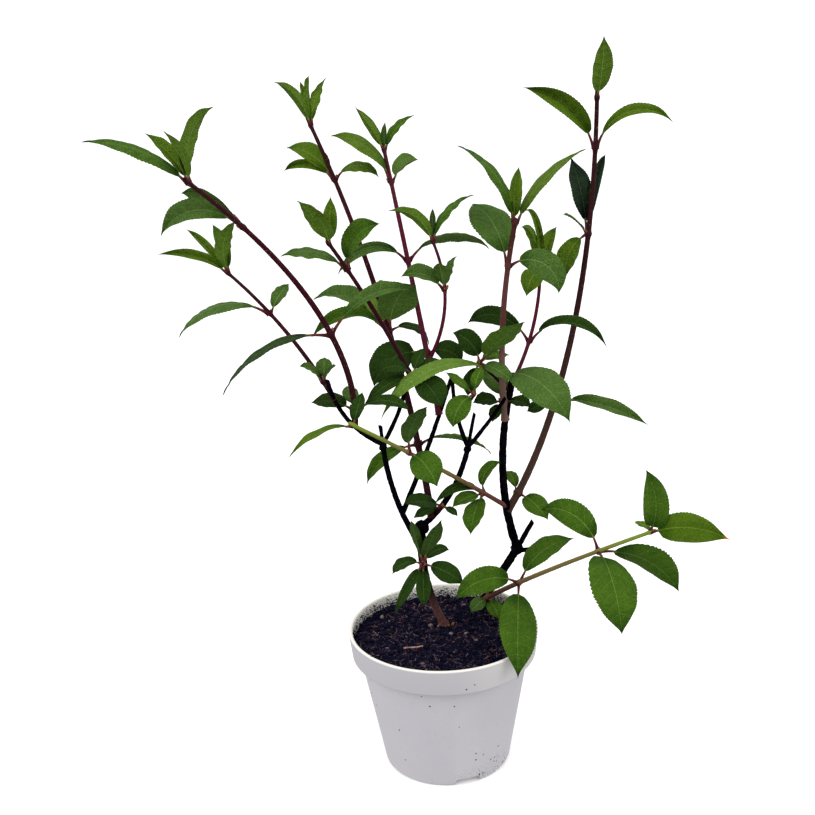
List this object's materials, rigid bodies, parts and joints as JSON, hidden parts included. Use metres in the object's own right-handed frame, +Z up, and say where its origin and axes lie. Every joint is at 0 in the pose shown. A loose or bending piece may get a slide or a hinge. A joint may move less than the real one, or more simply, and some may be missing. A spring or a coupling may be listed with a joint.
{
  "type": "potted panicle hydrangea",
  "caption": "Young panicle hydrangea in a plain nursery pot: dark pruned stems with long leafy shoots that spread to both sides.",
  "frame": {"origin": "centre of the pot's flat underside, where it stands", "axes": "+Z up, +X to the right and +Y away from the viewer of the picture"},
  "size_m": [0.4629, 0.2381, 0.6236],
  "materials": {
    "pot_plastic": "matte white plastic, lightly soiled",
    "potting_soil": "damp dark compost with pale fibres",
    "old_wood": "near black rough bark",
    "shoot_bark": "smooth maroon bark of this year's shoots",
    "foliage": "satin green leaves"
  },
  "bodies": {
    "root": {"pot": "pot_plastic", "soil": "potting_soil", "trunk_left": "old_wood", "trunk_right": "old_wood", "limb_left": "old_wood", "limb_left_outer_arm": "old_wood", "limb_left_stub": "old_wood", "limb_left_inner_arm": "old_wood", "limb_middle": "old_wood", "limb_centre": "old_wood", "limb_centre_left_arm": "old_wood", "limb_centre_stub": "old_wood", "limb_centre_right_arm": "old_wood", "limb_right": "old_wood", "limb_right_stub": "old_wood", "limb_right_short_stub": "old_wood", "bough_left_long": "shoot_bark", "bough_left_low": "shoot_bark", "bough_centre_left": "shoot_bark", "bough_upper_left": "shoot_bark", "bough_centre_tall": "shoot_bark", "bough_centre_small": "shoot_bark", "bough_right_centre": "shoot_bark", "bough_right_mid": "shoot_bark", "bough_right_tall": "shoot_bark", "bough_left_arching": "shoot_bark", "bough_right_low": "shoot_bark", "leaves_left_long_1": "foliage", "leaves_left_long_2": "foliage", "foliage_left_long": "foliage", "leaves_left_low_1": "foliage", "foliage_left_low": "foliage", "leaves_centre_left_1": "foliage", "leaves_centre_left_2": "foliage", "foliage_centre_left": "foliage", "foliage_upper_left": "foliage", "leaves_centre_tall_1": "foliage", "leaves_centre_tall_2": "foliage", "foliage_centre_tall": "foliage", "foliage_centre_small": "foliage", "leaves_right_centre_1": "foliage", "leaves_right_centre_2": "foliage", "foliage_right_centre": "foliage", "foliage_right_mid": "foliage", "leaves_right_tall_1": "foliage", "leaves_right_tall_2": "foliage", "foliage_right_tall": "foliage", "leaves_left_arching_1": "foliage", "foliage_left_arching": "foliage", "leaves_right_low_1": "foliage", "leaves_right_low_2": "foliage", "foliage_right_low": "foliage", "foliage_rosette": "foliage", "foliage_fork_spur": "foliage", "foliage_inner_spur": "foliage", "foliage_centre_spur": "foliage", "foliage_right_spur": "foliage"}
  },
  "joints": []
}
